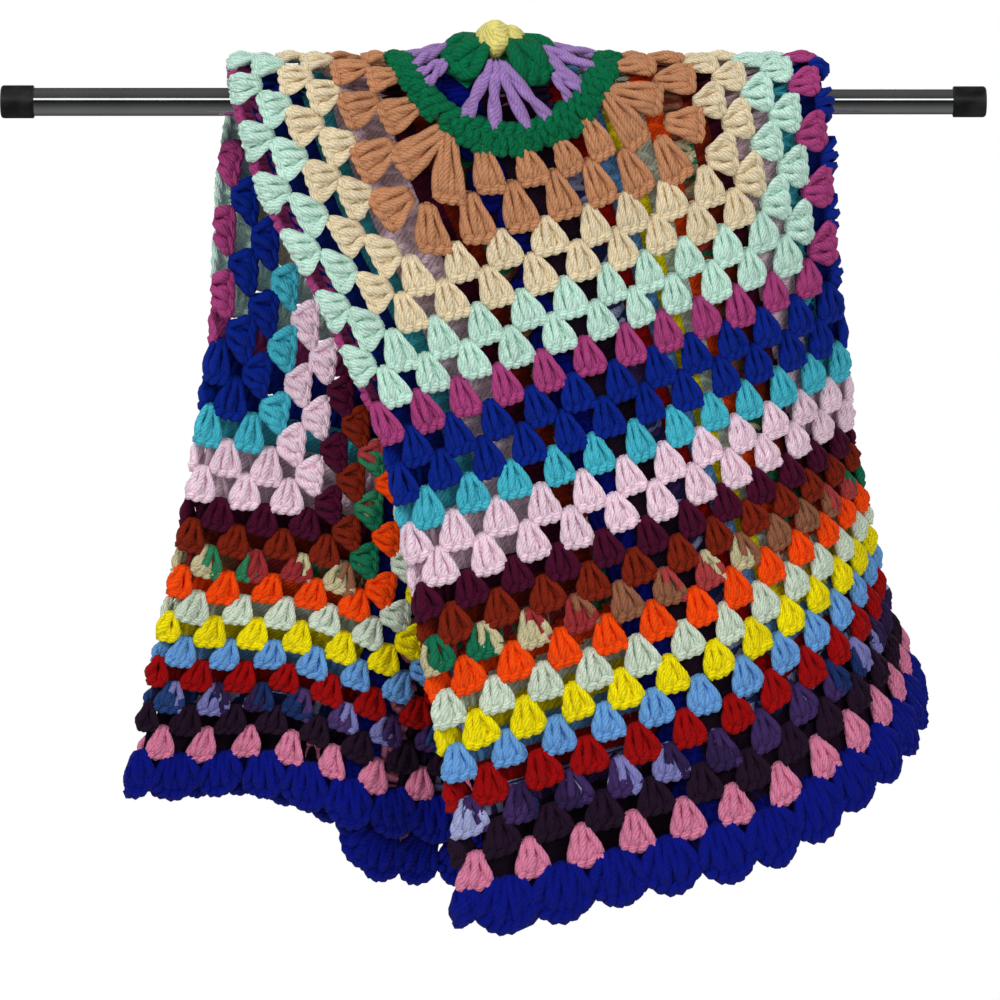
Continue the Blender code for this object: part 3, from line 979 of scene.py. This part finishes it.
def fan_posts(apex, ends, noise, thick):
    """Long posts, each two strands that wind round each other a little more than once, from near
    one apex to ends apart."""
    steps = 14
    w = np.linspace(0, 1, steps)[None, None, :]
    axis = ends - apex
    tall = np.linalg.norm(axis, axis=1)
    phase = BOTH_PHASES[None, :, None] + noise.uniform(0, TAU, (len(ends), 1, 1))
    wind = TAU * FAN_TURNS * w + phase
    x = FAN_PARTING * np.cos(wind) * (0.7 + 0.4 * w)
    y = tall[:, None, None] * w + 0 * phase
    raised = FAN_LIFT * np.sin(wind) + FAN_ROOT_RISE * (1 - w) ** 1.5
    raised = raised + FAN_BELLY * np.sin(math.pi * w)
    paths = in_the_flat(apex, axis / tall[:, None], x, y, raised).reshape(-1, steps, 3)
    radii = thick * (0.85 + 0.25 * w[0])
    tone = np.repeat(noise.uniform(-1, 1, len(ends)), 2)
    return strands(paths, radii, 7, tone, np.zeros(len(paths)))


def fans():
    """The third round: four fans of four long posts, each from between two petals, and two short
    posts over the middle of each petal."""
    noise = np.random.default_rng(3)
    fan, petal = FAN_ANGLES[:, None], PETAL_ANGLES[:, None]
    roots = spoke(FAN_START, (fan - FAN_LEAN + ROOT_SWING * FAN_SWING).ravel())
    ends = spoke(FAN_END, (fan + FAN_SWING).ravel())
    short_roots = spoke(SHORT_START, (petal + SHORT_ROOTS).ravel())
    short_ends = spoke(SHORT_END, (petal + SHORT_SWING).ravel())
    made = [
        fan_posts(roots, ends, noise, FAN_THICK),
        fan_posts(short_roots, short_ends, noise, SHORT_THICK),
    ]
    return mesh_object("round_03_fans", joined(made), [YARN["lavender"]])


def chain_ring():
    """The fourth round: a thick ring of short stitches round the flower, close together and a
    little uneven, over two strands that wind round each other all the way round."""
    noise = np.random.default_rng(4)
    count = RING_STITCHES
    angle = TAU * (np.arange(count) + noise.uniform(-0.15, 0.15, count)) / count
    inner = spoke(RING_START + uneven(noise, RING_STRAY, count), angle)
    strays = RING_STRAY * np.sin(5 * angle) + noise.uniform(-RING_STRAY, RING_STRAY, count)
    outer = spoke(RING_END + strays * MM, angle)
    made = [fine_clusters(inner, outer, RING_WIDTH, noise, posts=2, size=RING_SIZE)]
    steps = 240
    angle = np.linspace(0, TAU * 1.01, steps)[None, :]
    wind = ROPE_WINDS * angle + BOTH_PHASES[:, None]
    radius = ROPE_REACH + ROPE_SWING * np.cos(wind)
    raised = ROPE_LEVEL + ROPE_LIFT * np.sin(wind)
    paths = np.stack([radius * np.cos(angle), radius * np.sin(angle), raised], axis=-1)
    made.append(strands(paths, np.full(steps, ROPE_THICK), 6, np.zeros(2), np.zeros(2)))
    return mesh_object("round_04_ring", joined(made), [YARN["green"]])


pieces += [flower_heart(), petals(), fans(), chain_ring()]

# The core of the crochet, inside its clusters: a tapered strip for each, with its levels at the
# stations along it. A plain strip is narrow and, as painted shade, a little darker than its yarn:
# its half width runs from a length to a share of the cluster's room. A closing strip is much
# darker, painted shade for the depths seen through gaps, and in the pink round it takes the
# charcoal yarn;
# it meets its neighbours: its half width runs between two shares of the round's pitch.
STATIONS = np.array([0.0, 0.3, 0.6, 0.92])
CORE_LEVEL = np.array([-2.0, 1.0, 1.5, -0.5]) * MM
CORE_START, CORE_END = 1.6 * MM, 0.44
# Painted shade: a plain strip is a little darker than its yarn, where it shows between posts.
CORE_PAINTED_SHADE = -1.5
CLOSING_LEVEL = np.array([-2.0, -1.4, -0.8, -0.2]) * MM
CLOSING_START, CLOSING_END = 0.5, 0.53
# Painted shade: a closing strip is much darker than its yarn, where it shows deep in the gaps.
CLOSING_PAINTED_SHADE = -6.0
CLOSED_ROUND = 13
TURNED_REACH = (RIGHT_FOLD - 3 * MM, 0.3)
PINK_LEVEL = -3.6 * MM
TURNS_A_METRE = 40
DYE_CELL = 0.03
SHELL_CORE = 0.62
SPOKE_STEP = 30
SPOKE_ROOM = 26 * MM
SPOKE_START, SPOKE_END, SPOKE_SWELL = 2 * MM, 42 * MM, 9 * MM


def closes_gaps(number, base, top):
    """True for the strips that close the gaps beside them: those inside the folds, those that turn
    round the right fold, and those low on the panel behind."""
    u, v = ((base + top) / 2).T
    behind = run_down(folded(u, 0.0)[0], v) < 0
    low_behind = (u > LEFT_FOLD) & (u < RIGHT_FOLD) & behind & (number > CLOSED_ROUND)
    turned_under = (u > TURNED_REACH[0]) & (u < TURNED_REACH[1])
    return (~shows_close(base, top) | low_behind | turned_under) & (number > 0)


def plain_faces(flat, quads, tone):
    """Mesh arrays of a thin layer. Its UVs run across the flat blanket in turns, 40 to a metre, and
    along it in metres."""
    quad_uv = flat[quads][..., :2].reshape(-1, 2) * (TURNS_A_METRE, 1)
    skein = np.round(flat[:, 0] / DYE_CELL) + 7 * np.round(flat[:, 1] / DYE_CELL)
    return four_sided(hung(flat), quads, quad_uv, tone, skein)


def core_strips(number, yarn_name, base, top, room, pitch):
    """One tapered strip for each cluster of a round, whose half width grows smoothly from its
    base. It gives their mesh arrays, which of them close gaps, and their area in the flat."""
    axis = top - base
    tall = np.linalg.norm(axis, axis=1)
    closing = closes_gaps(number, base, top)
    wide = closing[:, None]
    start = np.where(wide, CLOSING_START * pitch, CORE_START)
    end = np.where(wide, CLOSING_END * pitch, CORE_END * room)
    half = start + (end - start) * smooth(STATIONS / 0.75)
    if number == BORDER_ROUND:
        share = np.broadcast_to(SHELL_CORE * STATIONS, half.shape)
    else:
        share = np.where(wide, STATIONS / STATIONS[-1], STATIONS)
    y = (tall[:, None] * share)[:, :, None]
    x = np.array([-1.0, 1.0])[None, None, :] * half[:, :, None]
    closing_level = np.full(len(STATIONS), PINK_LEVEL) if yarn_name == "pink" else CLOSING_LEVEL
    level = np.where(wide, closing_level, CORE_LEVEL)[:, :, None]
    flat = in_the_flat(base, axis / tall[:, None], x, y + 0 * x, level)
    first = 8 * np.arange(len(base))[:, None]
    i = 2 * np.arange(3)[None, :]
    quads = np.stack([first + i + 2, first + i + 3, first + i + 1, first + i], -1)
    # Painted shade: the strips' tone darkens them, a little on plain strips and much on closing
    # ones.
    tone = np.repeat(np.where(closing, CLOSING_PAINTED_SHADE, CORE_PAINTED_SHADE), 8)
    area = float((np.diff(share, axis=-1) * (half[:, 1:] + half[:, :-1]) * tall[:, None]).sum())
    return plain_faces(flat.reshape(-1, 3), quads.reshape(-1, 4), tone), closing, area


def ground():
    """The strips of every round, of the border and of the flower, whose strips are a ring of
    spokes. It gives the piece and its area in the flat."""
    names, parts, finish, flat_area = [], [], [], 0.0
    angle = np.radians(np.arange(0, 360, SPOKE_STEP))
    inner = spoke(SPOKE_START, angle)
    outer = spoke(SPOKE_END + SPOKE_SWELL * np.cos(angle) ** 4, angle)
    flower = (0, "green", inner, outer, SPOKE_ROOM, SPOKE_ROOM)
    shells = (BORDER_ROUND, "navy", *shell_places(), SHELL_WIDTH, SHELL_PITCH)
    for number, yarn_name, *strip in [flower] + places + [shells]:
        if yarn_name not in names:
            names.append(yarn_name)
        part, closing, area = core_strips(number, yarn_name, *strip)
        parts.append(part)
        # Painted shade: the closing strips of the pink round take the charcoal yarn instead of
        # pink.
        painted_shade_name = "charcoal" if yarn_name == "pink" else yarn_name
        chosen = np.where(closing, names.index(painted_shade_name), names.index(yarn_name))
        finish.append(np.repeat(chosen, 3))
        flat_area += area
    finishes = [YARN[name] for name in names]
    return mesh_object("ground_net", joined(parts), finishes, np.concatenate(finish)), flat_area


net, net_area = ground()

# --- The rod --------------------------------------------------


def turned(name, profile, material, sides=96):
    """A closed body turned about the rod: the profile's points are (place along, radius), and
    each is carried round a circle. It starts and ends on the axis or joins its own start."""
    profile = np.array(profile)
    angle = (TAU * np.arange(sides) / sides)[None, :]
    x = profile[:, :1] + 0 * angle
    y, z = profile[:, 1:] * np.cos(angle), profile[:, 1:] * np.sin(angle)
    points = np.stack([x, y, z], axis=-1).reshape(-1, 3)
    count = len(profile)
    i, j = np.arange(count)[:, None], np.arange(sides)[None, :]
    after, here, onward = (j + 1) % sides, i * sides, (i + 1) % count * sides
    quads = np.stack([here + j, here + after, onward + after, onward + j], -1)
    step = np.linalg.norm(np.roll(profile, -1, axis=0) - profile, axis=1)
    length = np.concatenate([[0], np.cumsum(step)])
    low, high = length[:-1, None], length[1:, None]
    turn, next_turn = j / sides, (j + 1) / sides
    quad_uv = corner_uv((turn, low), (next_turn, low), (next_turn, high), (turn, high))
    plain = np.zeros(len(points))
    made = four_sided(points, quads.reshape(-1, 4), quad_uv.reshape(-1, 2), plain, plain)
    return mesh_object(name, made, [material])


def rounded(corner, radius, edge, side, count=5):
    """Points that round an outer corner of a turned body: a quarter circle from its long side to
    its end face, at its right end (side 1) or its left one (side -1)."""
    x, r = corner - side * edge, radius - edge
    return [
        (x + side * edge * math.sin(a), r + edge * math.cos(a))
        for a in np.linspace(0, math.pi / 2, count)
    ]


def cap_profile(radius, bore, left):
    """A cap's wall and floor as a closed half section, with a rounded outer edge and lip. The right
    cap is the left one turned round."""
    outline = [(0.0, ON_AXIS)] + rounded(0.0, radius, CAP_EDGE, -1, 9)[::-1]
    outline += rounded(CAP_LENGTH, radius, CAP_LIP, 1)
    outline += [(CAP_LENGTH, bore), (CAP_FLOOR, bore), (CAP_FLOOR, ON_AXIS)]
    if left:
        return outline[::-1]
    return [(ROD_LENGTH - x, r) for x, r in outline]


def tube_wall(node, radius):
    """A thin tube's wall as a closed half section, as long as its solid, with rounded outer
    edges."""
    start, end = (corner[0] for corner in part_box(node))
    bore = [(end, radius - TUBE_WALL), (start, radius - TUBE_WALL)]
    left, right = rounded(start, radius, TUBE_EDGE, -1), rounded(end, radius, TUBE_EDGE, 1)
    return bore + left[::-1] + right


def rod():
    """Both tubes and both caps, in the places of their solids."""
    left_bore, right_bore = OUTER_TUBE_RADIUS + FIT_GAP, INNER_TUBE_RADIUS + FIT_GAP
    sections = {
        "rod_outer_tube": tube_wall("rod_outer_tube", OUTER_TUBE_RADIUS),
        "rod_inner_tube": tube_wall("rod_inner_tube", INNER_TUBE_RADIUS),
        "end_cap_left": cap_profile(LEFT_CAP_RADIUS, left_bore, True),
        "end_cap_right": cap_profile(RIGHT_CAP_RADIUS, right_bore, False),
    }
    for node, section in sections.items():
        slot, material = ("rubber", RUBBER) if "cap" in node else ("chrome", CHROME)
        piece = turned(node + "_finish", section, material)
        piece.data.shade_smooth()
        piece.data.set_sharp_from_angle(angle=math.radians(35))
        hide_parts(node)
        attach(piece, "root")


rod()

for piece in pieces + [net]:
    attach(piece, "root")
    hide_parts("blanket")

# --- Floor, light and camera ----------------------------------

FLOOR_LEVEL = -1.25
ROOM = 6.0
STUDIO_LIGHT = 0.38
# The grey at each height of the room that shines back, from its floor at 0 to its ceiling at 1.
HEIGHTS = (0.0, 0.2, 0.45, 0.58, 0.62, 0.68, 0.72, 1.0)
GREYS = (0.16, 0.07, 0.015, 0.012, 1.6, 1.6, 0.05, 0.1)
# Each light's place, what it is turned towards, its size and its power.
LIGHTS = {
    "key": ((-1.7, -2.3, 1.9), (0.3, 0, -0.22), 1.3, 58),
    "fill": ((2.2, -2.3, 1.0), (0.3, 0, -0.25), 1.3, 24),
    "back": ((0.4, 2.6, 1.6), (0.3, 0, -0.2), 1.6, 30),
}
VIEW_MIDDLE = (0.2957, -0.236)
VIEW_DISTANCE = 3.5
VIEW_WIDTH = 0.5926


def floor():
    """A wide pale floor under the hanging blanket."""
    mesh = bpy.data.meshes.new("floor")
    corners = [(-ROOM, -ROOM), (ROOM, -ROOM), (ROOM, ROOM), (-ROOM, ROOM)]
    mesh.from_pydata([(x, y, FLOOR_LEVEL) for x, y in corners], [], [(0, 1, 2, 3)])
    material, tree, shader = node_tree("pale_floor")
    place = tree.nodes.new("ShaderNodeTexCoord").outputs["Object"]
    stops = ((0.0, (0.86, 0.86, 0.86, 1)), (1.0, (0.90, 0.90, 0.90, 1)))
    tree.links.new(ramp_of(tree, noise_of(tree, place, 3), stops), shader.inputs["Base Color"])
    shader.inputs["Roughness"].default_value = 0.9
    mesh.materials.append(material)
    piece = linked("floor", mesh)
    piece.visible_glossy = False


def area_light(name, place, aim, size, power):
    """A square soft light at a place, turned towards what it lights."""
    light = bpy.data.lights.new(name, "AREA")
    light.size = size
    light.energy = power
    lamp = linked(name, light)
    lamp.location = place
    lamp.rotation_euler = (Vector(aim) - Vector(place)).to_track_quat("-Z", "Y").to_euler()
    lamp.visible_glossy = False


def mirrored_room(tree):
    """The light of the room that shines back, by height: dark, with one bright band."""
    place = tree.nodes.new("ShaderNodeTexCoord")
    split = tree.nodes.new("ShaderNodeSeparateXYZ")
    tree.links.new(place.outputs["Generated"], split.inputs[0])
    height = sums(tree, "ADD", sums(tree, "MULTIPLY", split.outputs[2], 0.5), 0.5)
    stops = [(spot, (grey, grey, grey, 1)) for spot, grey in zip(HEIGHTS, GREYS)]
    return ramp_of(tree, height, stops)


def studio_air():
    """A white studio all round. What shines mirrors a darker room, with a bright band a little
    above eye level."""
    world = bpy.data.worlds.new("studio")
    bpy.context.scene.world = world
    world.use_nodes = True
    tree = world.node_tree
    tree.nodes.clear()
    nodes, links = tree.nodes, tree.links
    output = nodes.new("ShaderNodeOutputWorld")
    plain, dim, mirrored = (nodes.new("ShaderNodeBackground") for _ in range(3))
    for air, strength in ((plain, 1.0), (dim, STUDIO_LIGHT)):
        air.inputs["Color"].default_value = (1, 1, 1, 1)
        air.inputs["Strength"].default_value = strength
    links.new(mirrored_room(tree), mirrored.inputs["Color"])
    rays = nodes.new("ShaderNodeLightPath")
    seen, either = nodes.new("ShaderNodeMixShader"), nodes.new("ShaderNodeMixShader")
    for mix, ray, first, second in (
        (seen, "Is Camera Ray", dim, plain),
        (either, "Is Glossy Ray", seen, mirrored),
    ):
        links.new(rays.outputs[ray], mix.inputs[0])
        links.new(first.outputs[0], mix.inputs[1])
        links.new(second.outputs[0], mix.inputs[2])
    links.new(either.outputs[0], output.inputs[0])


def camera():
    """Level with the blanket's middle, far enough back that the rod fills the width."""
    view = bpy.data.cameras.new("camera")
    view.sensor_width = 36
    view.lens = view.sensor_width * VIEW_DISTANCE / VIEW_WIDTH
    seat = linked("camera", view)
    seat.location = (VIEW_MIDDLE[0], -VIEW_DISTANCE, VIEW_MIDDLE[1])
    seat.rotation_euler = (math.pi / 2, 0, 0)
    bpy.context.scene.camera = seat


floor()
for name, (place, aim, size, power) in LIGHTS.items():
    area_light(name, place, aim, size, power)
studio_air()
camera()
bpy.context.scene.view_settings.view_transform = "Standard"
